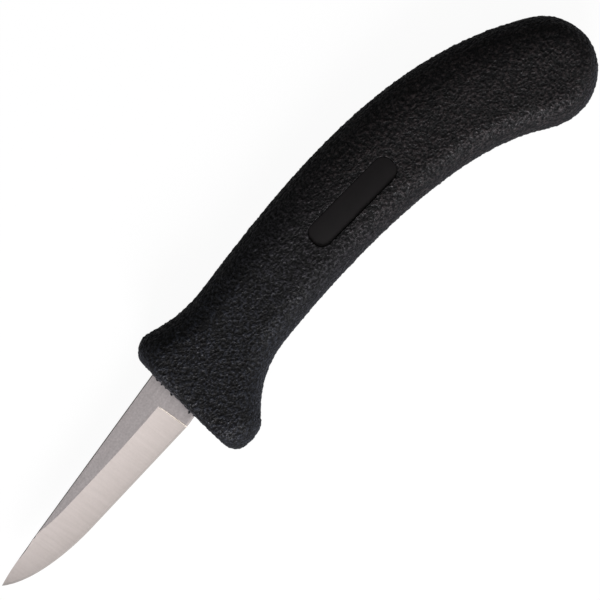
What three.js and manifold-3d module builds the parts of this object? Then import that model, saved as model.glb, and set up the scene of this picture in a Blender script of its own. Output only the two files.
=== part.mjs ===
// A poultry knife with a fixed blade: a stamped blade whose tang is held in a rigid core, under a
// soft moulded grip with a guard, a finger hollow and a dropped butt. Millimetres.
//
// The pieces are drawn about the knife's middle plane. X runs from the grip's front face back to
// the butt, Y runs up from the line of the blade's spine, and Z runs across the thickness. The
// finished knife lies on its flat side, with the ground under the middle of its box.

import * as THREE from "three";
import { mergeVertices } from "three/addons/utils/BufferGeometryUtils.js";
import Module from "manifold-3d";

const wasm = await Module();
wasm.setup();

// Blade
const BLADE_LENGTH = 62.6; // tip to the grip's front, along the spine
const BLADE_THICKNESS = 1.8;
const HEEL_HEIGHT = 14.1; // spine to cutting edge where the grind starts
const RICASSO_LENGTH = 5.4; // unground flat in front of the grip
const EDGE_ANGLE = 7.3; // degrees between the straight part of the edge and the spine
const EDGE_CURVE_LENGTH = 24; // curved part of the edge, back from the tip
const TIP_ANGLE = 48.5; // degrees between edge and spine at the tip
const TIP_DROP = 0.5; // tip below the line of the spine
const SPINE_FALL_LENGTH = 7; // stretch over which the spine falls to the tip
const GRIND_WIDTH = 7.8; // grind on each side, square to the edge
const GRIND_FLARE = 0.6; // how much wider the grind is at the heel
const GRIND_FLARE_LENGTH = 20; // stretch over which it widens
const GRIND_EDGE_THICKNESS = 0.12; // left at the edge by the grind
const GRIND_HOLLOW = 0.08; // dip of the grind between its top and its edge, left by the wheel
const PLUNGE_RADIUS = 0.5; // left by the corner of the wheel where the grind stops at the heel
const FACET_WIDTH = 0.5; // sharpened facet on each side
const EDGE_THICKNESS = 0.06;

// Tang
const TANG_LENGTH = 60; // behind the shoulders
const TANG_HEIGHT = 10;
const TANG_DEPTH = 7; // middle of the tang below the spine, at the shoulders
const TANG_DROOP = 6; // degrees that the tang turns down, along the grip
const TANG_HOLE_DIAMETER = 5;
const TANG_HOLE_COUNT = 3;
const TANG_HOLE_START = 14; // shoulders to the first hole
const TANG_HOLE_SPACING = 18;

// Grip outline, measured back from the front face and up or down from the line of the spine
const GRIP_LENGTH = 126.8;
const GRIP_THICKNESS = 18;
const FRONT_LEAN = 8.8; // degrees that the front face leans, with its foot forward
const FRONT_TOP = 4.2; // top of the straight front face
const FRONT_FOOT = 24; // foot of the straight front face
const CREST_SETBACK = 6.3; // guard above the blade
const CREST_RISE = 6.8;
const LOBE_SETBACK = 5.3; // guard below the blade
const LOBE_DROP = 28.1;
const NECK_SETBACK = 25; // thinnest place, where the forefinger lies
const NECK_RISE = 2.2;
const NECK_WIDTH = 23.1;
const BUTT_DROP = 34; // furthest point of the butt
const SHOULDER_LENGTH = 10.9; // where the back turns into the butt, ahead of its furthest point
const SHOULDER_RISE = 15.7; // and above it
const HOOK_LENGTH = 24.5; // where the belly turns into the butt, ahead of its furthest point
const HOOK_DROP = 7.5; // and below it

// Headings of the outline, in degrees
const CREST_HEADING = -23;
const LOBE_HEADING = 41;
const NECK_BACK_HEADING = -1;
const NECK_BELLY_HEADING = -3;
const SHOULDER_HEADING = -35.4;
const HOOK_HEADING = -43;

// How long each stretch of the outline keeps the headings that it leaves and arrives with, as
// shares of its chord
const BACK_PULLS = { corner: [0.2, 0.39], ramp: [0.35, 0.49], palm: [0.37, 0.32], butt: [0.43, 0.42] };
const BELLY_PULLS = { corner: [0.57, 0.13], ramp: [0.26, 0.44], palm: [0.29, 0.27], butt: [0.61, 0.36] };
const EDGE_PULLS = [0.29, 0.29];

// Rolled edges of the grip, as the width that each takes from the flat side
const BACK_ROLL = 7.6; // back of the guard and the neck
const PALM_ROLL = 11.2; // back of the palm, and on to the butt
const PALM_ROLL_SETBACK = 60; // where the back's roll has widened to that
const BELLY_ROLL = 6;
const FRONT_ROLL = 2.4;
const BUTT_ROLL = 6.5;

// Core and skin
const SKIN = 2.5; // wall of the soft grip over the core
const FRONT_WALL = 6; // grip in front of the core
const CLEARANCE = 0.3; // between the pieces
const PANEL_LENGTH = 27.2; // smooth panel of the core in the side of the grip
const PANEL_WIDTH = 6.4;
const PANEL_CORNER = 2.8;
const PANEL_SETBACK = 61.2; // middle of the panel
const PANEL_OFFSET = 2.3; // middle of the panel below the middle of the grip
const PANEL_RECESS = 0.5; // panel below the side of the grip

// Fineness of the facets
const ROLL_STEPS = 8;
const CORNER_STEPS = 7;
const RAMP_STEPS = 10;
const PALM_STEPS = 22;
const BUTT_STEPS = 13;
const EDGE_STEPS = 12;
const HOLLOW_STEPS = 5;
const PLUNGE_STEPS = 5;
const FLARE_STEPS = 4;
const FALL_STEPS = 5;
const ROUND_STEPS = 24;
const PALM_HALVINGS = 30; // to find a place along the palm

// How far a body passes the surface that it cuts or joins
const OVERCUT = 0.2;

const radians = THREE.MathUtils.degToRad;

function direction(heading) {
  return new THREE.Vector2(Math.cos(radians(heading)), Math.sin(radians(heading)));
}

function knot(x, y, heading) {
  return { at: new THREE.Vector2(x, y), way: direction(heading) };
}

// A curve from one knot to the next
function stretch(from, to, pulls) {
  const chord = from.at.distanceTo(to.at);
  const leaving = from.at.clone().addScaledVector(from.way, chord * pulls[0]);
  const arriving = to.at.clone().addScaledVector(to.way, -chord * pulls[1]);
  return new THREE.CubicBezierCurve(from.at, leaving, arriving, to.at);
}

function solid(geometry) {
  geometry.deleteAttribute("normal");
  geometry.deleteAttribute("uv");
  const merged = mergeVertices(geometry);
  const mesh = new wasm.Mesh({
    numProp: 3,
    vertProperties: Float32Array.from(merged.attributes.position.array),
    triVerts: Uint32Array.from(merged.index.array),
  });
  return new wasm.Manifold(mesh);
}

function geometryOf(body) {
  const mesh = body.getMesh();
  const geometry = new THREE.BufferGeometry();
  geometry.setAttribute("position", new THREE.BufferAttribute(mesh.vertProperties, mesh.numProp));
  geometry.setIndex(new THREE.BufferAttribute(mesh.triVerts, 1));
  geometry.computeVertexNormals();
  return geometry;
}

// An extruded outline, centred on the middle plane.
function plate(shape, thickness) {
  const geometry = new THREE.ExtrudeGeometry(shape, {
    depth: thickness,
    bevelEnabled: false,
    curveSegments: ROUND_STEPS / 2,
  });
  return geometry.translate(0, 0, -thickness / 2);
}

// A closed body through rings of points that all run the same way round. Fans to a start and an end
// point close the first and the last ring.
function loft(rings, startPoint, endPoint) {
  const count = rings[0].length;
  const points = rings.flat();
  const faces = [];
  for (let i = 0; i + 1 < rings.length; i += 1) {
    for (let j = 0; j < count; j += 1) {
      const a = i * count + j;
      const b = i * count + ((j + 1) % count);
      faces.push(a, a + count, b, b, a + count, b + count);
    }
  }
  const start = points.push(startPoint) - 1;
  const end = points.push(endPoint) - 1;
  const last = (rings.length - 1) * count;
  for (let j = 0; j < count; j += 1) {
    const next = (j + 1) % count;
    faces.push(start, j, next);
    faces.push(end, last + next, last + j);
  }
  const geometry = new THREE.BufferGeometry().setFromPoints(points);
  return geometry.setIndex(faces);
}

function middleOf(ring) {
  const sum = new THREE.Vector3();
  ring.forEach((point) => sum.add(point));
  return sum.divideScalar(ring.length);
}

// Outline of the grip, as two rails that run side by side from the front face to the butt
const lean = Math.tan(radians(FRONT_LEAN));
const butt = new THREE.Vector2(GRIP_LENGTH, -BUTT_DROP);
const neckDrop = NECK_WIDTH - NECK_RISE;

const backKnots = {
  front: knot(FRONT_TOP * lean, FRONT_TOP, 90 - FRONT_LEAN),
  crest: knot(CREST_SETBACK, CREST_RISE, CREST_HEADING),
  neck: knot(NECK_SETBACK, NECK_RISE, NECK_BACK_HEADING),
  shoulder: knot(butt.x - SHOULDER_LENGTH, butt.y + SHOULDER_RISE, SHOULDER_HEADING),
  end: knot(butt.x, butt.y, -90),
};
const back = {
  corner: stretch(backKnots.front, backKnots.crest, BACK_PULLS.corner),
  ramp: stretch(backKnots.crest, backKnots.neck, BACK_PULLS.ramp),
  palm: stretch(backKnots.neck, backKnots.shoulder, BACK_PULLS.palm),
  butt: stretch(backKnots.shoulder, backKnots.end, BACK_PULLS.butt),
};

const bellyKnots = {
  front: knot(-FRONT_FOOT * lean, -FRONT_FOOT, -90 - FRONT_LEAN),
  lobe: knot(LOBE_SETBACK, -LOBE_DROP, LOBE_HEADING),
  neck: knot(NECK_SETBACK, -neckDrop, NECK_BELLY_HEADING),
  hook: knot(butt.x - HOOK_LENGTH, butt.y - HOOK_DROP, HOOK_HEADING),
  end: knot(butt.x, butt.y, 90),
};
const belly = {
  corner: stretch(bellyKnots.front, bellyKnots.lobe, BELLY_PULLS.corner),
  ramp: stretch(bellyKnots.lobe, bellyKnots.neck, BELLY_PULLS.ramp),
  palm: stretch(bellyKnots.neck, bellyKnots.hook, BELLY_PULLS.palm),
  butt: stretch(bellyKnots.hook, bellyKnots.end, BELLY_PULLS.butt),
};

// Points along both rails, moved in from the outline by a wall. Left of the belly rail and right of
// the back rail is the inside of the grip.
function pairsAlong(part, steps, inset) {
  const pairs = [];
  for (let i = 0; i < steps; i += 1) {
    const t = i / steps;
    const inward = (rail, side) => {
      const way = rail.getTangent(t);
      return rail.getPoint(t).addScaledVector(new THREE.Vector2(-way.y, way.x), side * inset);
    };
    pairs.push({ belly: inward(belly[part], 1), back: inward(back[part], -1) });
  }
  return pairs;
}

// Share of its full height that a rolled edge has reached at a distance from its foot
function rolled(distance, width) {
  const rest = 1 - Math.min(1, distance / width);
  return Math.sqrt(1 - rest * rest);
}

// Width of the back's rolled edge at a distance behind the front face
function backRollAt(x) {
  const along = (x - NECK_SETBACK) / (PALM_ROLL_SETBACK - NECK_SETBACK);
  return THREE.MathUtils.lerp(BACK_ROLL, PALM_ROLL, THREE.MathUtils.clamp(along, 0, 1));
}

// One ring of the handle between two rail points: flat sides, and a rolled edge on each rail.
function ringBetween(pair, half, inset) {
  const across = pair.back.clone().sub(pair.belly);
  const width = across.length();
  across.normalize();
  const share = Math.min(1, width / (NECK_WIDTH - 2 * inset));
  const bellyRoll = (BELLY_ROLL - inset) * share;
  const backRoll = (backRollAt(pair.back.x) - inset) * share;
  const upper = [];
  for (let k = 0; k <= ROLL_STEPS; k += 1) {
    const turn = (k / ROLL_STEPS) * (Math.PI / 2);
    upper.push({ along: bellyRoll * (1 - Math.cos(turn)), z: half * Math.sin(turn) });
  }
  for (let k = ROLL_STEPS; k >= 0; k -= 1) {
    const turn = (k / ROLL_STEPS) * (Math.PI / 2);
    upper.push({ along: width - backRoll * (1 - Math.cos(turn)), z: half * Math.sin(turn) });
  }
  const lower = upper.slice(1, -1).reverse();
  const place = (along, z) => {
    const at = pair.belly.clone().addScaledVector(across, along);
    return new THREE.Vector3(at.x, at.y, z);
  };
  return [
    ...upper.map((point) => place(point.along, point.z)),
    ...lower.map((point) => place(point.along, -point.z)),
  ];
}

function middleOfPair(pair) {
  return pair.belly.clone().lerp(pair.back, 0.5);
}

// The outer body of the grip: its front face is rolled all round, and its butt is domed.
function gripBody() {
  const pairs = [
    ...pairsAlong("corner", CORNER_STEPS, 0),
    ...pairsAlong("ramp", RAMP_STEPS, 0),
    ...pairsAlong("palm", PALM_STEPS, 0),
    ...pairsAlong("butt", BUTT_STEPS, 0),
  ];
  const rings = pairs.map((pair) => {
    const middle = middleOfPair(pair);
    const depth = (middle.x - middle.y * lean) * Math.cos(radians(FRONT_LEAN));
    const side = GRIP_THICKNESS / 2 - FRONT_ROLL * (1 - rolled(depth, FRONT_ROLL));
    return ringBetween(pair, side * rolled(middle.distanceTo(butt), BUTT_ROLL), 0);
  });
  return solid(loft(rings, middleOf(rings[0]), new THREE.Vector3(butt.x, butt.y, 0)));
}

// A body one wall inside the grip. It leaves out the guard: from the neck forward it is straight.
function innerBody(inset, frontX) {
  const pairs = pairsAlong("palm", PALM_STEPS, inset);
  const neck = pairs[0];
  const front = {
    belly: new THREE.Vector2(frontX, neck.belly.y),
    back: new THREE.Vector2(frontX, neck.back.y),
  };
  const end = new THREE.Vector2(butt.x - inset, butt.y);
  const rings = [front, ...pairs, ...pairsAlong("butt", BUTT_STEPS, inset)].map((pair) => {
    const dome = rolled(middleOfPair(pair).distanceTo(end), BUTT_ROLL - inset);
    return ringBetween(pair, (GRIP_THICKNESS / 2 - inset) * dome, inset);
  });
  return solid(loft(rings, middleOf(rings[0]), new THREE.Vector3(end.x, end.y, 0)));
}

// Middle line of the palm at a distance behind the front face
function palmAt(x) {
  let low = 0;
  let high = 1;
  const middle = (t) => back.palm.getPoint(t).lerp(belly.palm.getPoint(t), 0.5);
  for (let i = 0; i < PALM_HALVINGS; i += 1) {
    const t = (low + high) / 2;
    if (middle(t).x < x) {
      low = t;
    } else {
      high = t;
    }
  }
  const way = back.palm.getTangent(low).add(belly.palm.getTangent(low)).normalize();
  return { at: middle(low), way };
}

// The panel's outline as a block from the middle plane up to a height, turned along the grip
function panelBlock(inset, top) {
  const length = PANEL_LENGTH - 2 * inset;
  const width = PANEL_WIDTH - 2 * inset;
  const corner = Math.min(PANEL_CORNER - inset, width / 2 - OVERCUT);
  const outline = new THREE.Shape();
  outline.absarc(length / 2 - corner, width / 2 - corner, corner, 0, Math.PI / 2);
  outline.absarc(corner - length / 2, width / 2 - corner, corner, Math.PI / 2, Math.PI);
  outline.absarc(corner - length / 2, corner - width / 2, corner, Math.PI, Math.PI * 1.5);
  outline.absarc(length / 2 - corner, corner - width / 2, corner, Math.PI * 1.5, Math.PI * 2);
  const { at, way } = palmAt(PANEL_SETBACK);
  const block = plate(outline, top).translate(0, 0, top / 2);
  block.rotateZ(way.angle());
  return solid(block.translate(at.x, at.y - PANEL_OFFSET, 0));
}

// The tang, or with a clearance the pocket that takes it. The holes shrink as the tang grows.
function tangBody(grow) {
  const half = TANG_HEIGHT / 2 + grow;
  const outline = new THREE.Shape();
  outline.moveTo(-CLEARANCE - OVERCUT, -half);
  outline.lineTo(TANG_LENGTH - TANG_HEIGHT / 2, -half);
  outline.absarc(TANG_LENGTH - TANG_HEIGHT / 2, 0, half, -Math.PI / 2, Math.PI / 2);
  outline.lineTo(-CLEARANCE - OVERCUT, half);
  for (let i = 0; i < TANG_HOLE_COUNT; i += 1) {
    const hole = new THREE.Path();
    const x = TANG_HOLE_START + i * TANG_HOLE_SPACING;
    hole.absarc(x, 0, TANG_HOLE_DIAMETER / 2 - grow, 0, Math.PI * 2);
    outline.holes.push(hole);
  }
  const tang = plate(outline, BLADE_THICKNESS + 2 * grow).rotateZ(radians(-TANG_DROOP));
  return solid(tang.translate(FRONT_WALL, -TANG_DEPTH, 0));
}

// Cutting edge of the blade: a straight run from the heel, then a curve up to the tip
const heel = new THREE.Vector2(-RICASSO_LENGTH, -HEEL_HEIGHT);
const tip = knot(-BLADE_LENGTH, -TIP_DROP, 180 - TIP_ANGLE);
const straightRun = EDGE_CURVE_LENGTH - BLADE_LENGTH - heel.x;
const bend = knot(
  heel.x + straightRun,
  heel.y - straightRun * Math.tan(radians(EDGE_ANGLE)),
  180 - EDGE_ANGLE,
);
const edgeCurve = stretch(bend, tip, EDGE_PULLS);

// The stamped blank: the pointed blade, and the ricasso behind it up to the shoulders inside the grip.
// The corners of its edge lie between the stations of the grind.
function blankBody() {
  const fallStart = new THREE.Vector2(SPINE_FALL_LENGTH - BLADE_LENGTH, 0);
  const fallMiddle = new THREE.Vector2(SPINE_FALL_LENGTH / 2 - BLADE_LENGTH, 0);
  const fall = new THREE.QuadraticBezierCurve(fallStart, fallMiddle, tip.at);
  const pointed = [new THREE.Vector2(heel.x + OVERCUT, 0), ...fall.getPoints(FALL_STEPS)];
  for (let i = EDGE_STEPS - 1; i >= 0; i -= 1) {
    pointed.push(edgeCurve.getPoint((i + 0.5) / EDGE_STEPS));
  }
  pointed.push(heel, new THREE.Vector2(heel.x + OVERCUT, heel.y));
  const ricasso = [
    new THREE.Vector2(heel.x, 0),
    heel,
    new THREE.Vector2(FRONT_WALL, heel.y),
    new THREE.Vector2(FRONT_WALL, 0),
  ];
  const stamped = (points) => solid(plate(new THREE.Shape(points), BLADE_THICKNESS));
  return stamped(pointed).add(stamped(ricasso));
}

// What is ground off one side of the blade along its edge: the hollow grind, and the sharpened facet
// below it. At the heel the grind is wider, and the cut rises round the corner of the wheel.
function grindBody(side) {
  const stations = [];
  const onStraight = (ahead, lift) => {
    const share = Math.min(1, ahead / GRIND_FLARE_LENGTH);
    stations.push({
      at: new THREE.Vector2(heel.x - ahead, heel.y + ahead * Math.tan(radians(EDGE_ANGLE))),
      inward: direction(90 - EDGE_ANGLE * share),
      width: GRIND_WIDTH + GRIND_FLARE * (1 - share) ** 2,
      lift,
    });
  };
  for (let i = PLUNGE_STEPS; i >= 0; i -= 1) {
    const turn = (i / PLUNGE_STEPS) * (Math.PI / 2);
    onStraight(PLUNGE_RADIUS * (1 - Math.sin(turn)), PLUNGE_RADIUS * (1 - Math.cos(turn)));
  }
  for (let i = 1; i <= FLARE_STEPS; i += 1) {
    const share = i / FLARE_STEPS;
    onStraight(THREE.MathUtils.lerp(PLUNGE_RADIUS, GRIND_FLARE_LENGTH, share), 0);
  }
  for (let i = 0; i <= EDGE_STEPS; i += 1) {
    const way = edgeCurve.getTangent(i / EDGE_STEPS);
    const inward = new THREE.Vector2(way.y, -way.x);
    stations.push({ at: edgeCurve.getPoint(i / EDGE_STEPS), inward, width: GRIND_WIDTH, lift: 0 });
  }
  const last = stations.at(-1);
  stations.push({ ...last, at: tip.at.clone().addScaledVector(tip.way, GRIND_WIDTH) });

  const place = (station, from, z) => {
    const at = station.at.clone().addScaledVector(station.inward, from);
    return new THREE.Vector3(at.x, at.y, side * z);
  };
  const half = BLADE_THICKNESS / 2;
  const high = half + PLUNGE_RADIUS + OVERCUT;
  const rings = stations.map((station) => {
    const slope = (half - GRIND_EDGE_THICKNESS / 2) / station.width;
    const facetTop = GRIND_EDGE_THICKNESS / 2 + slope * FACET_WIDTH;
    const facetSlope = (facetTop - EDGE_THICKNESS / 2) / FACET_WIDTH;
    const hollowWidth = station.width - FACET_WIDTH;
    const topSlope = slope + (4 * GRIND_HOLLOW) / hollowWidth;
    const foot = EDGE_THICKNESS / 2 + station.lift;
    const ring = [place(station, -OVERCUT, foot - facetSlope * OVERCUT)];
    for (let i = 0; i <= HOLLOW_STEPS; i += 1) {
      const share = i / HOLLOW_STEPS;
      const rise = share * (half - facetTop) - 4 * GRIND_HOLLOW * share * (1 - share);
      ring.push(place(station, FACET_WIDTH + share * hollowWidth, facetTop + rise + station.lift));
    }
    ring.push(place(station, station.width + (high - half - station.lift) / topSlope, high));
    ring.push(place(station, -OVERCUT, high));
    return side > 0 ? ring : ring.reverse();
  });
  return solid(loft(rings, place(stations[0], 0, half), place(stations.at(-1), 0, half)));
}

function bladeBody() {
  return blankBody().add(tangBody(0)).subtract(grindBody(1)).subtract(grindBody(-1));
}

// The core fills the skin, holds the tang in a pocket that is open at the front, and rises in the
// window of the grip as a smooth panel.
function coreBody() {
  const panel = panelBlock(CLEARANCE, GRIP_THICKNESS / 2 - PANEL_RECESS);
  const body = innerBody(SKIN + CLEARANCE, FRONT_WALL + CLEARANCE);
  return body.add(panel).subtract(tangBody(CLEARANCE));
}

// The soft grip: the outer body without the core, the panel's window and the slot for the blade.
function gripShell() {
  const reach = FRONT_FOOT * lean + OVERCUT;
  const length = reach + FRONT_WALL + OVERCUT;
  const height = HEEL_HEIGHT + 2 * CLEARANCE;
  const slot = new THREE.BoxGeometry(length, height, BLADE_THICKNESS + 2 * CLEARANCE);
  slot.translate(length / 2 - reach, -HEEL_HEIGHT / 2, 0);
  return gripBody()
    .subtract(innerBody(SKIN, FRONT_WALL))
    .subtract(panelBlock(0, GRIP_THICKNESS))
    .subtract(solid(slot));
}

function piece(name, body, material) {
  const mesh = new THREE.Mesh(geometryOf(body), new THREE.MeshStandardMaterial(material));
  mesh.name = name;
  return mesh;
}

const knife = new THREE.Group();
knife.add(piece("blade", bladeBody(), { color: 0xa9a5a2, metalness: 1, roughness: 0.38 }));
knife.add(piece("handle_core", coreBody(), { color: 0x232122, metalness: 0, roughness: 0.55 }));
knife.add(piece("grip", gripShell(), { color: 0x1d1d20, metalness: 0, roughness: 0.8 }));

const box = new THREE.Box3().setFromObject(knife);
const centre = box.getCenter(new THREE.Vector3());
knife.position.set(-centre.x, -centre.y, -box.min.z);

const part = new THREE.Group();
part.add(knife);
export default part;
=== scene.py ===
import math

import bmesh
import bpy
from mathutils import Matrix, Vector, noise


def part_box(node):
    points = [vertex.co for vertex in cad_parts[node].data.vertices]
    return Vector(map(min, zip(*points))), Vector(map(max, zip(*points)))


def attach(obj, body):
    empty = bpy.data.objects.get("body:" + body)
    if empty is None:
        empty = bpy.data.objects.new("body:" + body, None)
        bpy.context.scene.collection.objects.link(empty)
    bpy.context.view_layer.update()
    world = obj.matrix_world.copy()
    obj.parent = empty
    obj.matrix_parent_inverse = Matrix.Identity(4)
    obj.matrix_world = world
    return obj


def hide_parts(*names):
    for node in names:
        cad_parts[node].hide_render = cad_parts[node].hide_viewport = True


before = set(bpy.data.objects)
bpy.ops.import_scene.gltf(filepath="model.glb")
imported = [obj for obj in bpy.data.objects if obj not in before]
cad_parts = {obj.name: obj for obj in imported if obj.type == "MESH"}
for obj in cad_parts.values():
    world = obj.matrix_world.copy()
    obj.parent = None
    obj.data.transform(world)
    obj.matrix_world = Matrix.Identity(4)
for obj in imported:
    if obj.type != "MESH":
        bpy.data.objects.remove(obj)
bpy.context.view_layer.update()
scene = bpy.context.scene

# Sizes are in millimetres and angles in degrees, unless a comment says otherwise.
MM = 0.001
WELD = 0.001  # corners closer than this are one
CORNER = 1  # an edge is a corner where its faces turn by more than this, in radians

# Camera: square above the knife, which lies with its spine turned in the picture.
PICTURE_WIDTH = 144  # what the picture shows of the knife's middle plane
PICTURE_TURN = 54.09  # from the spine to the picture's right
PICTURE_FROM_TIP = 97.52  # middle of the picture behind the tip
PICTURE_BELOW_SPINE = 18.21
LENS = 250
SENSOR = 36

# Soft boxes: bearing in the picture from its right, anticlockwise, and height above the floor, then
# distance, width and depth in metres, radiance, and colour.
SOFTBOXES = {
    "key": (270, 33, 1.5, 0.833, 0.583, 15, (1, 0.98, 1.03)),  # from the picture's foot
    "strip": (318, 7, 1.2, 0.6, 0.25, 5, (0.97, 0.99, 1.05)),  # low, along the belly
    "overhead": (324, 72, 1.1, 0.8, 0.8, 0.99, (1.02, 0.99, 0.98)),  # dim
}
WATTS = 4  # power of a soft box for each square metre, at a radiance of 1

# Room: what the gloss of the knife shows, in shares of white.
ROOM_LIGHT = 0.02
WALL_TONE = 0.6
WALL_SHADE = 0.06  # share of that tone on the side away from the key
WALL_BEARING = 280  # the lit side, counted as for the soft boxes
SHADE_FULL = -0.7  # cosine of the angle to the lit side past which the wall is in full shade
SHADE_END = -0.3  # and where the shade ends
WALL_TOP = 0.87  # sine of the height where the walls end
WALL_FULL = 0.6  # and up to which they have their full tone

# Floor: white paper.
FLOOR_HALF = 5  # metres from its middle to its edges
FLOOR_DROP = 0.05  # keeps it clear of the knife's side
FLOOR_GLOW = 0.95  # tone that the camera sees, before the light of the lamps
FLOOR_GLOSS = 0.2  # tone that the knife's gloss shows

# Grip: pebble grain of the mould, cut into a finely divided skin.
RIM_ANGLE = 45  # sharper edges end the outside of the grip
CELL = 0.38  # size of the skin's faces
SOFTENING = 23  # rounds of smoothing that the skin gets
SKIN_LIFT = 0.07  # makes up for what the softening takes off
PEBBLE = 0.9  # size of the grain's lumps
PEBBLE_DEPTH = 0.24
PEBBLE_MEAN = 0.2  # share of that depth where the grain lies on average
SPECKLE = 0.55  # size of the finer lumps between them
SPECKLE_DEPTH = 0.2
GRAIN_RUN = Vector((0.586, -0.81, 0))  # the lumps lie along this line, across the grip
GRAIN_STRETCH = 1.3
PASS = 2  # how far the room inside is carried through the skin
GRIP_SHARP = 65  # edges that turn more are shaded sharp
CREASE_HEIGHT = -0.022  # painted shade makes the rubber darkest where the grain is this low
LUMP_HEIGHT = 0.034  # and has its full tone from here on
FINE_GRAIN = 0.55  # texture on the lumps
FINE_DEPTH = 0.38
COOL_TO = 25  # the rubber's tone is cool up to here behind the grip's front
WARM_FROM = 70  # and warm from here on

# Core: its panel is moulded tight into the grip's window.
WINDOW_GAP = 0.28
PANEL_ROUND = 0.2
PANEL_STEPS = 3
PANEL_UPRIGHT = 0.2  # a face is a wall of the panel where its normal's z is below this
MOULDED_SHARP = 40  # edges of the panel and the flash that turn more are shaded sharp
MOTTLE = 3  # clouds in the plastic's tone
MOULD_GRIT = 0.3  # spark-eroded grain, coarser than a real one so that it shows
MOULD_DEPTH = 0.02

# Blade: eased edges, and a finish for each kind of face, whose tones are partly painted light and shade.
FLATTENING = 0.2  # faces that turn less than this are joined
SPINE_ROUND = 0.28
SPINE_STEPS = 4
SPINE_BAND = 0.3  # the spine's edges lie within this of its line
POINT_ROUND = 0.2  # the spine's edges beside the grind are eased less
POINT_STEPS = 2
SHARP_TIP = 7.4  # the spine stays sharp this close to the tip
HEEL = 9  # the grind runs out within this of the grip's front
ROOT = 12  # the blade's root and its slot lie within this of the grip's front
RELIEF_WIDTH = 0.5  # relief along the lower edge of the ricasso
RELIEF_FALL = 0.14
RIM_LIMIT = 0.8  # a face is the spine's or the ricasso's rim where its normal's y is past this
FLAT_LIMIT = 0.9997  # a face is rolled sheet where its normal's z is above this
SIDE_LIMIT = 0.6  # and part of the blade's sides where it is above this
BACK_LIMIT = 0.02  # a face of the sides is eased spine where its normal's y is above this
HONED_HALF = 0.06  # a face is honed where the blade is thinner than twice this
BLADE_SHARP = 3  # edges that turn more are shaded sharp
ROLLED, GROUND, BLANKED, HONED, PLUNGE = range(5)  # order of the finishes
STEEL_LINE = 1  # lines of the steel before they are stretched, coarser than real ones so that they show
STEEL_GRIT = 0.5  # mottle of the steel, drawn coarser too
STEEL_DEPTH = 0.004
STEEL_SPREAD = 0.05  # of the roughness, to either side
FALLOFF_LENGTH = 40  # the grind is painted brightest at the heel, and painted darker over this length, for the lamps' reflection falling off toward the tip
TIP_TONE = 0.88  # share of its tone that it keeps there
THIN_HALF = 0.22  # the grind is painted darker, as shade, where the blade is thinner than twice this
THIN_TONE = 0.9

# Flash: rubber pressed out round the blade.
FLASH_STEP = 0.16
FLASH_FOOT = 0.5  # it starts this far inside the slot
FLASH_REACH = 0.45
FLASH_RAGGED = 0.3
FLASH_TOOTH = 0.5  # size of its ragged teeth
FLASH_WALL = 0.27
# Tags on the flash: how far below the spine, half the width, and the reach of each.
FLASH_TAGS = (
    (1.7, 0.7, 0.75),
    (3.2, 0.4, 0.75),
    (4.5, 0.6, 0.6),
    (6.5, 0.6, 0.85),
    (12.5, 0.4, 1.0),
    (13.8, 0.35, 0.6),
)


def linear(text):
    """An sRGB hex colour as linear red, green, blue and alpha."""
    parts = [int(text[place:place + 2], 16) / 255 for place in (1, 3, 5)]
    return [part / 12.92 if part <= 0.04045 else ((part + 0.055) / 1.055) ** 2.4 for part in parts] + [1]


def add(tree, kind, inputs=None, **settings):
    """One node with its settings; an input is a value or another node's output."""
    node = tree.nodes.new("ShaderNode" + kind)
    for key, value in settings.items():
        setattr(node, key, value)
    for key, value in (inputs or {}).items():
        if isinstance(value, bpy.types.NodeSocket):
            tree.links.new(value, node.inputs[key])
        else:
            node.inputs[key].default_value = value
    return node


def material_of(name, **finish):
    """A material, its nodes, its shader and the place on the object that its patterns read."""
    material = bpy.data.materials.new(name)
    material.use_nodes = True
    tree = material.node_tree
    shader = tree.nodes["Principled BSDF"]
    for key, value in finish.items():
        shader.inputs[key.replace("_", " ")].default_value = value
    return material, tree, shader, add(tree, "TexCoord").outputs["Object"]


def data_of(name, mesh):
    """The mesh data of a bmesh, which is freed."""
    data = bpy.data.meshes.new(name)
    mesh.to_mesh(data)
    mesh.free()
    return data


def finish_piece(name, mesh, node, slot, *materials):
    """A piece that stands for a CAD node, or with no node one that is added to the knife."""
    if isinstance(mesh, bmesh.types.BMesh):
        mesh = data_of(name, mesh)
    mesh.name = name
    piece = bpy.data.objects.new(name, mesh)
    scene.collection.objects.link(piece)
    for material in materials:
        mesh.materials.append(material)
    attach(piece, "root")
    if node:
        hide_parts(node)
    return piece


def merged_copy(node):
    """A CAD node's mesh with its loose triangles joined."""
    mesh = bmesh.new()
    mesh.from_mesh(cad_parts[node].data)
    bmesh.ops.remove_doubles(mesh, verts=mesh.verts, dist=WELD * MM)
    return mesh


def modified(mesh, *steps):
    """Mesh data after modifiers, each given by its kind and settings."""
    if isinstance(mesh, bmesh.types.BMesh):
        mesh = data_of("work", mesh)
    worker = bpy.data.objects.new("work", mesh)
    scene.collection.objects.link(worker)
    for kind, settings in steps:
        modifier = worker.modifiers.new(kind, kind)
        for key, value in settings.items():
            setattr(modifier, key, value)
    graph = bpy.context.evaluated_depsgraph_get()
    result = bpy.data.meshes.new_from_object(worker.evaluated_get(graph))
    bpy.data.objects.remove(worker)
    return result


def ease(mesh, edges, width, segments):
    """Round or bevel edges of a piece."""
    return bmesh.ops.bevel(
        mesh, geom=edges, offset=width * MM, offset_type="OFFSET",
        affect="EDGES", segments=segments, profile=0.5, material=-1,
    )


def outside_of(mesh):
    """The faces that are reached from the top of the grip without passing a sharp rim."""
    start = max(mesh.faces, key=lambda face: face.calc_center_median().z)
    found, front = {start}, [start]
    while front:
        for edge in front.pop().edges:
            if edge.calc_face_angle(0) > math.radians(RIM_ANGLE):
                continue
            for face in edge.link_faces:
                if face not in found:
                    found.add(face)
                    front.append(face)
    return found


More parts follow.
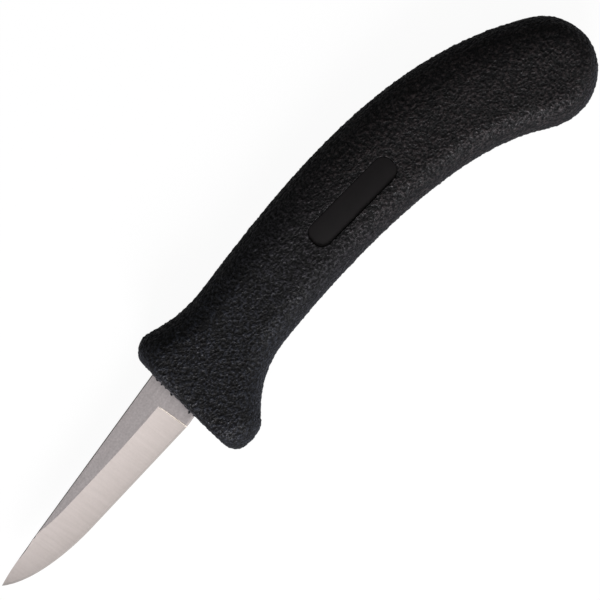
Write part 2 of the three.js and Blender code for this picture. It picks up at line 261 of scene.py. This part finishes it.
def room_inside():
    """The room in the grip as a solid, carried out through the panel's window and the blade's slot."""
    mesh = merged_copy("grip")
    bmesh.ops.delete(mesh, geom=list(outside_of(mesh)), context="FACES")
    rims = [edge for edge in mesh.edges if edge.is_boundary]
    grown = bmesh.ops.extrude_edge_only(mesh, edges=rims)["geom"]
    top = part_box("grip")[1].z - WELD * MM
    for vert in grown:
        if isinstance(vert, bmesh.types.BMVert):
            vert.co += Vector((0, 0, PASS * MM) if vert.co.z > top else (-PASS * MM, 0, 0))
    bmesh.ops.holes_fill(mesh, edges=[edge for edge in mesh.edges if edge.is_boundary])
    bmesh.ops.recalc_face_normals(mesh, faces=mesh.faces)
    return data_of("room", mesh)


def grain(place):
    """Height of the pebble grain in mm: rounded lumps between creases, with finer lumps on them."""
    along = place - GRAIN_RUN * place.dot(GRAIN_RUN) * (1 - 1 / GRAIN_STRETCH)
    lump = abs(noise.noise(along / (PEBBLE * MM))) - PEBBLE_MEAN
    speckle = noise.noise(along / (SPECKLE * MM))
    return PEBBLE_DEPTH * lump + SPECKLE_DEPTH * speckle


def make_grip(rubber):
    """Soft grip: an even skin over the outside, the grain raised on it, and the room inside cut out."""
    mesh = merged_copy("grip")
    outside = outside_of(mesh)
    bmesh.ops.delete(mesh, geom=[face for face in mesh.faces if face not in outside], context="FACES")
    bmesh.ops.holes_fill(mesh, edges=[edge for edge in mesh.edges if edge.is_boundary])
    skin = modified(
        mesh,
        ("REMESH", {"mode": "VOXEL", "voxel_size": CELL * MM}),
        ("SMOOTH", {"factor": 0.5, "iterations": SOFTENING}),
    )
    raised = [vert.co + vert.normal * (SKIN_LIFT + grain(vert.co)) * MM for vert in skin.vertices]
    for vert, place in zip(skin.vertices, raised):
        vert.co = place
        vert.co.z = max(place.z, 0)
    cutter = bpy.data.objects.new("room", room_inside())
    scene.collection.objects.link(cutter)
    skin = modified(skin, ("BOOLEAN", {"operation": "DIFFERENCE", "solver": "MANIFOLD", "object": cutter}))
    bpy.data.objects.remove(cutter)
    heights = skin.attributes.new("grain", "FLOAT", "POINT")
    for item, vert in zip(heights.data, skin.vertices):
        item.value = grain(vert.co)
    skin.materials.clear()
    skin.shade_smooth()
    skin.set_sharp_from_angle(angle=math.radians(GRIP_SHARP))
    finish_piece("grip_skin", skin, "grip", "grip_rubber", rubber)


def make_core():
    """Core: its panel fills the window and has a rounded rim."""
    mesh = merged_copy("handle_core")
    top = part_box("handle_core")[1].z - WELD * MM
    walls = [
        face for face in mesh.faces
        if abs(face.normal.z) < PANEL_UPRIGHT and max(vert.co.z for vert in face.verts) > top
    ]
    shifts = {}
    for face in walls:
        for vert in face.verts:
            shifts.setdefault(vert, []).append(face.normal.copy())
    for vert, normals in shifts.items():
        vert.co += sum(normals, Vector()).normalized() * WINDOW_GAP * MM
    rim = [
        edge for edge in mesh.edges
        if min(vert.co.z for vert in edge.verts) > top and edge.calc_face_angle(0) > CORNER
    ]
    ease(mesh, rim, PANEL_ROUND, PANEL_STEPS)
    piece = finish_piece("core_panel", mesh, "handle_core", "core_plastic", polypropylene())
    piece.data.shade_smooth()
    piece.data.set_sharp_from_angle(angle=math.radians(MOULDED_SHARP))


def rim_edges(mesh, root):
    """Each sharp edge of the blade ahead of its root, with its flatter face and its steeper one."""
    for edge in mesh.edges:
        if edge.calc_face_angle(0) > CORNER and max(vert.co.x for vert in edge.verts) < root:
            side, rim = sorted(edge.link_faces, key=lambda face: -abs(face.normal.z))
            yield edge, side, rim


def make_blade():
    """Blade: an eased spine, a relieved edge on the ricasso, and a finish for each kind of face."""
    mesh = merged_copy("blade")
    bmesh.ops.dissolve_limit(
        mesh, angle_limit=math.radians(FLATTENING), verts=mesh.verts, edges=mesh.edges, delimit={"NORMAL"},
    )
    low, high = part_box("blade")
    middle = (low.z + high.z) / 2
    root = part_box("grip")[0].x + ROOT * MM
    spine = [
        edge for edge, side, rim in rim_edges(mesh, root)
        if rim.normal.y > RIM_LIMIT and abs(side.normal.z) > FLAT_LIMIT
        and min(vert.co.y for vert in edge.verts) > high.y - SPINE_BAND * MM
    ]
    ease(mesh, spine, SPINE_ROUND, SPINE_STEPS)
    end = low.x + SHARP_TIP * MM
    for place in (end, end - POINT_ROUND * MM):
        everything = mesh.verts[:] + mesh.edges[:] + mesh.faces[:]
        bmesh.ops.bisect_plane(mesh, geom=everything, plane_co=(place, 0, 0), plane_no=(1, 0, 0))
    point = [
        edge for edge, side, rim in rim_edges(mesh, root)
        if rim.normal.y > RIM_LIMIT and abs(side.normal.z) < FLAT_LIMIT
        and min(vert.co.y for vert in edge.verts) > high.y - SPINE_BAND * MM
        and min(vert.co.x for vert in edge.verts) > end - WELD * MM
    ]
    ease(mesh, point, POINT_ROUND, POINT_STEPS)
    ricasso = [
        edge for edge, side, rim in rim_edges(mesh, root)
        if rim.normal.y < -RIM_LIMIT and abs(side.normal.z) > FLAT_LIMIT
    ]
    relief = ease(mesh, ricasso, RELIEF_WIDTH, 1)
    foot = min(vert.co.y for vert in relief["verts"]) + WELD * MM
    for vert in relief["verts"]:
        if vert.co.y < foot:
            vert.co.z = (high.z - RELIEF_FALL * MM) if vert.co.z > middle else (low.z + RELIEF_FALL * MM)
    mesh.normal_update()
    relieved = set(relief["faces"])
    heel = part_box("grip")[0].x - HEEL * MM
    for face in mesh.faces:
        level = abs(face.normal.z)
        crosswise = abs(face.normal.x) > abs(face.normal.y) and face.calc_center_median().x > heel
        if level > FLAT_LIMIT:
            face.material_index = ROLLED
        elif crosswise and level > SIDE_LIMIT:
            face.material_index = PLUNGE
        elif face in relieved or level < SIDE_LIMIT or face.normal.y > BACK_LIMIT:
            face.material_index = BLANKED
        elif min(abs(vert.co.z - middle) for vert in face.verts) < HONED_HALF * MM:
            face.material_index = HONED
        else:
            face.material_index = GROUND
        face.smooth = True
    finishes = rolled_steel(), ground_steel(), blanked_steel(), honed_steel(), plunge_steel()
    piece = finish_piece("blade_ground", mesh, "blade", "blade_steel", *finishes)
    piece.data.set_sharp_from_angle(angle=math.radians(BLADE_SHARP))


def make_flash(rubber):
    """Flash: a thin ragged lip of rubber that the mould pressed out along the blade. It has no grain."""
    source = merged_copy("grip")
    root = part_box("grip")[0].x + ROOT * MM
    outside = outside_of(source)
    rim = [
        edge for edge in source.edges
        if sum(face in outside for face in edge.link_faces) == 1
        and max(vert.co.x for vert in edge.verts) < root
    ]
    mesh = bmesh.new()
    twins = {}
    for edge in rim:
        for vert in edge.verts:
            if vert not in twins:
                twins[vert] = mesh.verts.new(vert.co)
        mesh.edges.new([twins[vert] for vert in edge.verts])
    source.free()
    for edge in list(mesh.edges):
        cuts = int(edge.calc_length() / (FLASH_STEP * MM))
        if cuts:
            bmesh.ops.subdivide_edges(mesh, edges=[edge], cuts=cuts)
    loop = list(mesh.edges)
    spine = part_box("blade")[1].y
    for vert in mesh.verts:
        vert.co.x += FLASH_FOOT * MM
    grown = bmesh.ops.extrude_edge_only(mesh, edges=loop)["geom"]
    for vert in grown:
        if isinstance(vert, bmesh.types.BMVert):
            below = (spine - vert.co.y) / MM
            tag = max(reach * (1 - ((below - place) / half) ** 2) for place, half, reach in FLASH_TAGS)
            ragged = FLASH_RAGGED * max(0, noise.noise(vert.co / (FLASH_TOOTH * MM)))
            vert.co.x -= (FLASH_REACH + ragged + max(0, tag)) * MM
    bmesh.ops.recalc_face_normals(mesh, faces=mesh.faces)
    bmesh.ops.solidify(mesh, geom=list(mesh.faces), thickness=FLASH_WALL * MM)
    bmesh.ops.recalc_face_normals(mesh, faces=mesh.faces)
    for face in mesh.faces:
        face.smooth = True
    piece = finish_piece("grip_flash", mesh, None, "grip_rubber", rubber)
    piece.data.set_sharp_from_angle(angle=math.radians(MOULDED_SHARP))


def elastomer():
    """Moulded black thermoplastic elastomer: matt, with a soft sheen on the lumps, and painted shade that
    darkens its creases.
    """
    material, tree, shader, place = material_of(
        "moulded_elastomer", Specular_IOR_Level=0.23,
        Sheen_Weight=0.07, Sheen_Roughness=0.42, Sheen_Tint=linear("#e4ebff"),
    )
    height = add(tree, "Attribute", attribute_name="grain").outputs["Fac"]
    # Painted shade: the colour darkens to near black where the grain is low, in its creases.
    unshaded_share = add(tree, "MapRange", {"Value": height, "From Min": CREASE_HEIGHT, "From Max": LUMP_HEIGHT})
    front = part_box("grip")[0].x
    rearward = add(tree, "MapRange", {
        "Value": add(tree, "SeparateXYZ", {"Vector": place}).outputs["X"],
        "From Min": front + COOL_TO * MM, "From Max": front + WARM_FROM * MM,
    })
    lump = add(tree, "Mix", {
        "Factor": rearward.outputs["Result"], "A": linear("#16181d"), "B": linear("#1c1818"),
    }, data_type="RGBA")
    painted_crease_shade = add(tree, "Mix", {
        "Factor": unshaded_share.outputs["Result"], "A": linear("#020202"), "B": lump.outputs["Result"],
    }, data_type="RGBA")
    turned = add(tree, "Mapping", {
        "Vector": place, "Rotation": (0, 0, math.radians(PICTURE_TURN)), "Scale": (1 / GRAIN_STRETCH, 1, 1),
    })
    fine = add(tree, "TexNoise", {
        "Vector": turned.outputs["Vector"], "Scale": 1 / (FINE_GRAIN * MM), "Detail": 1,
    }).outputs["Fac"]
    spots = add(tree, "MapRange", {
        "Value": fine, "From Min": 0.4, "From Max": 0.6, "To Min": 0.2, "To Max": 1.8,
    })
    colour = add(tree, "Mix", {
        "Factor": 1, "A": painted_crease_shade.outputs["Result"], "B": spots.outputs["Result"],
    }, data_type="RGBA", blend_type="MULTIPLY")
    tree.links.new(colour.outputs["Result"], shader.inputs["Base Color"])
    matt = add(tree, "MapRange", {
        "Value": fine, "From Min": 0.35, "From Max": 0.65, "To Min": 0.95, "To Max": 0.3,
    })
    tree.links.new(matt.outputs["Result"], shader.inputs["Roughness"])
    bump = add(tree, "Bump", {"Height": fine, "Distance": FINE_DEPTH * MM, "Strength": 1})
    tree.links.new(bump.outputs["Normal"], shader.inputs["Normal"])
    return material


def polypropylene():
    """Moulded black polypropylene: smooth and satin, with the faint mottle of a spark-eroded mould."""
    material, tree, shader, place = material_of("moulded_polypropylene", Specular_IOR_Level=0.12)
    mottle = add(tree, "TexNoise", {"Vector": place, "Scale": 1 / (MOTTLE * MM), "Detail": 4})
    colour = add(tree, "Mix", {
        "Factor": mottle.outputs["Fac"], "A": linear("#131212"), "B": linear("#191717"),
    }, data_type="RGBA")
    tree.links.new(colour.outputs["Result"], shader.inputs["Base Color"])
    fine = add(tree, "TexNoise", {"Vector": place, "Scale": 1 / (MOULD_GRIT * MM), "Detail": 2})
    matt = add(tree, "MapRange", {"Value": fine.outputs["Fac"], "To Min": 0.5, "To Max": 0.65})
    tree.links.new(matt.outputs["Result"], shader.inputs["Roughness"])
    bump = add(tree, "Bump", {"Height": fine.outputs["Fac"], "Distance": MOULD_DEPTH * MM, "Strength": 0.4})
    tree.links.new(bump.outputs["Normal"], shader.inputs["Normal"])
    return material


def steel_of(name, dark, bright, stretch, grit, roughness):
    """Stainless steel with lines that are stretched along one direction, over the grit of its surface."""
    material, tree, shader, place = material_of(name, Metallic=1)
    drawn = add(tree, "Mapping", {"Vector": place, "Scale": stretch})
    lines = add(tree, "TexNoise", {
        "Vector": drawn.outputs["Vector"], "Scale": 1 / (STEEL_LINE * MM), "Detail": 3,
    }).outputs["Fac"]
    grains = add(tree, "TexNoise", {"Vector": place, "Scale": 1 / (STEEL_GRIT * MM), "Detail": 1})
    tone = add(tree, "Mix", {"Factor": grit, "A": lines, "B": grains.outputs["Fac"]})
    colour = add(tree, "Mix", {
        "Factor": tone.outputs["Result"], "A": linear(dark), "B": linear(bright),
    }, data_type="RGBA").outputs["Result"]
    tree.links.new(colour, shader.inputs["Base Color"])
    rough = add(tree, "MapRange", {
        "Value": lines, "To Min": roughness - STEEL_SPREAD, "To Max": roughness + STEEL_SPREAD,
    })
    tree.links.new(rough.outputs["Result"], shader.inputs["Roughness"])
    bump = add(tree, "Bump", {"Height": lines, "Distance": STEEL_DEPTH * MM, "Strength": 0.5})
    tree.links.new(bump.outputs["Normal"], shader.inputs["Normal"])
    return material, tree, shader, colour


def rolled_steel():
    """Cold-rolled stainless sheet: even dull grey, partly its finish and partly painted shade against the
    brighter grind, with a fine mottle and faint streaks along the blade.
    """
    return steel_of("rolled_stainless_sheet", "#9c9797", "#d9d3d3", (0.15, 2, 1), 0.6, 0.38)[0]


def ground_steel():
    """Ground stainless: brighter than the sheet, partly its finish and partly painted light, with the
    wheel's fine lines across the blade, and painted shade toward the tip and toward the edge.
    """
    material, tree, shader, colour = steel_of(
        "ground_stainless", "#bdb6b2", "#d7cfcb", (1.8, 0.05, 1), 0.3, 0.36,
    )
    low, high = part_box("blade")
    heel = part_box("grip")[0].x
    place = add(tree, "SeparateXYZ", {"Vector": add(tree, "TexCoord").outputs["Object"]}).outputs
    # Painted shade: the grind darkens toward the tip, standing in for the lamps' reflection falling off
    # along the blade.
    painted_shading = add(tree, "MapRange", {
        "Value": place["X"], "From Min": heel - FALLOFF_LENGTH * MM, "From Max": heel,
        "To Min": TIP_TONE, "To Max": 1,
    })
    # Painted shade: the grind darkens toward the edge, for the bevel's darker reflection there.
    half = add(tree, "Math", {0: place["Z"], 1: (low.z + high.z) / 2}, operation="SUBTRACT")
    half = add(tree, "Math", {0: half.outputs[0]}, operation="ABSOLUTE")
    painted_edge_shade = add(tree, "MapRange", {
        "Value": half.outputs[0], "From Min": HONED_HALF * MM, "From Max": THIN_HALF * MM,
        "To Min": THIN_TONE,
    })
    painted_shading = add(tree, "Math", {
        0: painted_shading.outputs["Result"], 1: painted_edge_shade.outputs["Result"],
    }, operation="MULTIPLY")
    shade = add(tree, "Mix", {
        "Factor": 1, "A": colour, "B": painted_shading.outputs[0],
    }, data_type="RGBA", blend_type="MULTIPLY")
    tree.links.new(shade.outputs["Result"], shader.inputs["Base Color"])
    return material


def blanked_steel():
    """Blanked and deburred stainless edge: duller, with streaks along it."""
    return steel_of("blanked_stainless_edge", "#a49e9b", "#b4aeab", (0.3, 3, 3), 0.3, 0.42)[0]


def honed_steel():
    """Honed stainless facet along the edge: greyer than the grind, a painted shade for the facet's darker
    reflection, with fine lines along it.
    """
    return steel_of("honed_stainless_facet", "#a5a09c", "#b1aca8", (0.5, 4, 1), 0.3, 0.3)[0]


def plunge_steel():
    """Where the wheel ran out, across the blade at the heel: rougher than the grind, and darker, a painted
    shade that damps its glint.
    """
    return steel_of("ground_stainless_plunge", "#9c958c", "#ada69c", (1.8, 0.05, 1), 0.3, 0.5)[0]


def make_floor():
    """White paper: white to the camera, dimmer in the knife's gloss, with the knife's soft shadow."""
    mesh = bmesh.new()
    bmesh.ops.create_grid(mesh, x_segments=1, y_segments=1, size=FLOOR_HALF)
    bmesh.ops.translate(mesh, verts=mesh.verts, vec=(0, 0, -FLOOR_DROP * MM))
    floor = bpy.data.objects.new("floor", data_of("floor", mesh))
    scene.collection.objects.link(floor)
    material = bpy.data.materials.new("white_paper")
    material.use_nodes = True
    tree = material.node_tree
    path = add(tree, "LightPath").outputs
    mirrored = add(tree, "Math", {
        0: path["Is Glossy Ray"], 1: path["Is Transmission Ray"],
    }, operation="ADD")
    mirrored = add(tree, "Math", {0: mirrored.outputs[0], 1: FLOOR_GLOSS}, operation="MULTIPLY")
    glow = add(tree, "Math", {
        0: path["Is Camera Ray"], 1: FLOOR_GLOW, 2: mirrored.outputs[0],
    }, operation="MULTIPLY_ADD")
    paper = add(tree, "BsdfDiffuse", {"Color": linear("#484848")})
    white = add(tree, "Emission", {"Strength": glow.outputs[0]})
    both = add(tree, "AddShader", {0: paper.outputs[0], 1: white.outputs[0]})
    tree.links.new(both.outputs[0], tree.nodes["Material Output"].inputs["Surface"])
    floor.data.materials.append(material)


def make_camera():
    """Camera square above the middle plane, turned so that the knife rises to the right."""
    low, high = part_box("blade")
    middle = Vector((
        low.x + PICTURE_FROM_TIP * MM, high.y - PICTURE_BELOW_SPINE * MM, (low.z + high.z) / 2,
    ))
    camera = bpy.data.objects.new("camera", bpy.data.cameras.new("camera"))
    camera.data.lens = LENS
    camera.data.sensor_width = SENSOR
    camera.location = middle + Vector((0, 0, PICTURE_WIDTH * MM * LENS / SENSOR))
    camera.rotation_euler = (0, 0, -math.radians(PICTURE_TURN))
    scene.collection.objects.link(camera)
    scene.camera = camera
    return middle


def softbox(name, middle, bearing, height, distance, width, depth, radiance, colour):
    """A soft box aimed at the middle of the picture."""
    turn = math.radians(bearing - PICTURE_TURN)
    rise = math.radians(height)
    away = Vector((math.cos(turn) * math.cos(rise), math.sin(turn) * math.cos(rise), math.sin(rise)))
    lamp = bpy.data.lights.new(name, "AREA")
    lamp.shape = "RECTANGLE"
    lamp.size = width
    lamp.size_y = depth
    lamp.energy = radiance * WATTS * width * depth
    lamp.color = colour
    box = bpy.data.objects.new(name, lamp)
    box.location = middle + away * distance
    box.rotation_euler = away.to_track_quat("Z", "Y").to_euler()
    box.visible_camera = False
    scene.collection.objects.link(box)


def make_room():
    """Pale room: white to the camera, dim as a light, with walls in the gloss, darkest behind the back."""
    world = bpy.data.worlds.new("room")
    world.use_nodes = True
    tree = world.node_tree
    turn = math.radians(WALL_BEARING - PICTURE_TURN)
    outward = add(tree, "TexCoord").outputs["Generated"]
    toward = add(tree, "VectorMath", {
        0: outward, 1: (math.cos(turn), math.sin(turn), 0),
    }, operation="DOT_PRODUCT")
    side = add(tree, "MapRange", {
        "Value": toward.outputs["Value"], "From Min": SHADE_FULL, "From Max": SHADE_END,
        "To Min": WALL_SHADE,
    })
    rise = add(tree, "SeparateXYZ", {"Vector": outward}).outputs["Z"]
    wall = add(tree, "MapRange", {
        "Value": rise, "From Min": WALL_TOP, "From Max": WALL_FULL, "To Max": WALL_TONE,
    })
    wall = add(tree, "Math", {0: wall.outputs["Result"], 1: side.outputs["Result"]}, operation="MULTIPLY")
    path = add(tree, "LightPath").outputs
    mirrored = add(tree, "Math", {
        0: path["Is Glossy Ray"], 1: path["Is Transmission Ray"],
    }, operation="ADD")
    mirrored = add(tree, "Math", {
        0: mirrored.outputs[0], 1: wall.outputs[0], 2: ROOM_LIGHT,
    }, operation="MULTIPLY_ADD")
    shown = add(tree, "Math", {0: path["Is Camera Ray"], 1: mirrored.outputs[0]}, operation="ADD")
    tree.links.new(shown.outputs[0], tree.nodes["Background"].inputs["Strength"])
    tree.nodes["Background"].inputs["Color"].default_value = (1, 1, 1, 1)
    scene.world = world


scene.view_settings.view_transform = "Standard"
grip_rubber = elastomer()
make_grip(grip_rubber)
make_core()
make_blade()
make_flash(grip_rubber)
make_floor()
picture_middle = make_camera()
for box_name, settings in SOFTBOXES.items():
    softbox(box_name, picture_middle, *settings)
make_room()
